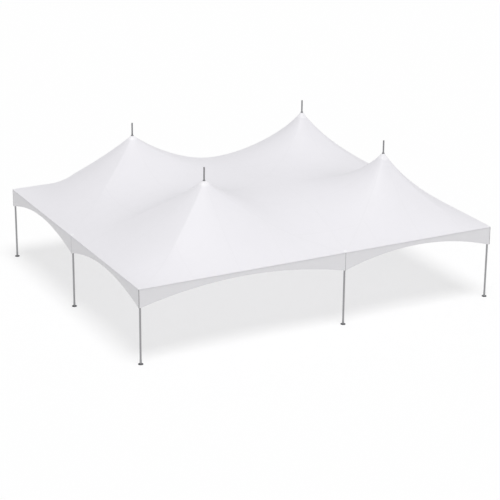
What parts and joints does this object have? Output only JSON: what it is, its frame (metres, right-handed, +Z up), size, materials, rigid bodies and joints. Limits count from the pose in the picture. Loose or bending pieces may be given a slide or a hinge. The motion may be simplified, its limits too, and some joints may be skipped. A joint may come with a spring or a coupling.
{
  "type": "high-peak marquee tent",
  "caption": "Open-sided high-peak frame marquee with a white membrane roof over masts on crossed cables, arched valances and slim legs with round feet.",
  "frame": {"origin": "on the ground under the middle of the plan", "axes": "+Z up, +X along the long sides towards the shorter bay, +Y from the front to the back"},
  "size_m": [12.36, 10.36, 4.94],
  "materials": {
    "frame_aluminium": "mill-finished tube, slightly dulled",
    "fitting_steel": "galvanised, matt",
    "mast_steel": "galvanised tube, matt grey",
    "stay_cable": "stranded galvanised wire",
    "canopy_membrane": "coated white textile, satin",
    "valance_membrane": "coated white textile, satin"
  },
  "bodies": {
    "root": {"leg_front_left": "frame_aluminium", "leg_front_middle": "frame_aluminium", "leg_front_right": "frame_aluminium", "leg_left_middle": "frame_aluminium", "leg_right_middle": "frame_aluminium", "leg_back_left": "frame_aluminium", "leg_back_middle": "frame_aluminium", "leg_back_right": "frame_aluminium", "corner_fitting_front_left": "fitting_steel", "tee_fitting_front_middle": "fitting_steel", "corner_fitting_front_right": "fitting_steel", "tee_fitting_left_middle": "fitting_steel", "tee_fitting_right_middle": "fitting_steel", "corner_fitting_back_left": "fitting_steel", "tee_fitting_back_middle": "fitting_steel", "corner_fitting_back_right": "fitting_steel", "eave_beam_front_left": "frame_aluminium", "eave_beam_front_right": "frame_aluminium", "eave_beam_back_left": "frame_aluminium", "eave_beam_back_right": "frame_aluminium", "eave_beam_left_front": "frame_aluminium", "eave_beam_left_back": "frame_aluminium", "eave_beam_right_front": "frame_aluminium", "eave_beam_right_back": "frame_aluminium", "mast_front_left": "mast_steel", "mast_front_right": "mast_steel", "mast_back_left": "mast_steel", "mast_back_right": "mast_steel", "cross_cable_front_left": "stay_cable", "diagonal_cable_front_left": "stay_cable", "cross_cable_front_right": "stay_cable", "diagonal_cable_front_right": "stay_cable", "cross_cable_back_left": "stay_cable", "diagonal_cable_back_left": "stay_cable", "cross_cable_back_right": "stay_cable", "diagonal_cable_back_right": "stay_cable", "centre_ring": "fitting_steel", "canopy": "canopy_membrane", "valance_front_left": "valance_membrane", "valance_front_right": "valance_membrane", "valance_back_left": "valance_membrane", "valance_back_right": "valance_membrane", "valance_left_front": "valance_membrane", "valance_left_back": "valance_membrane", "valance_right_front": "valance_membrane", "valance_right_back": "valance_membrane"}
  },
  "joints": []
}
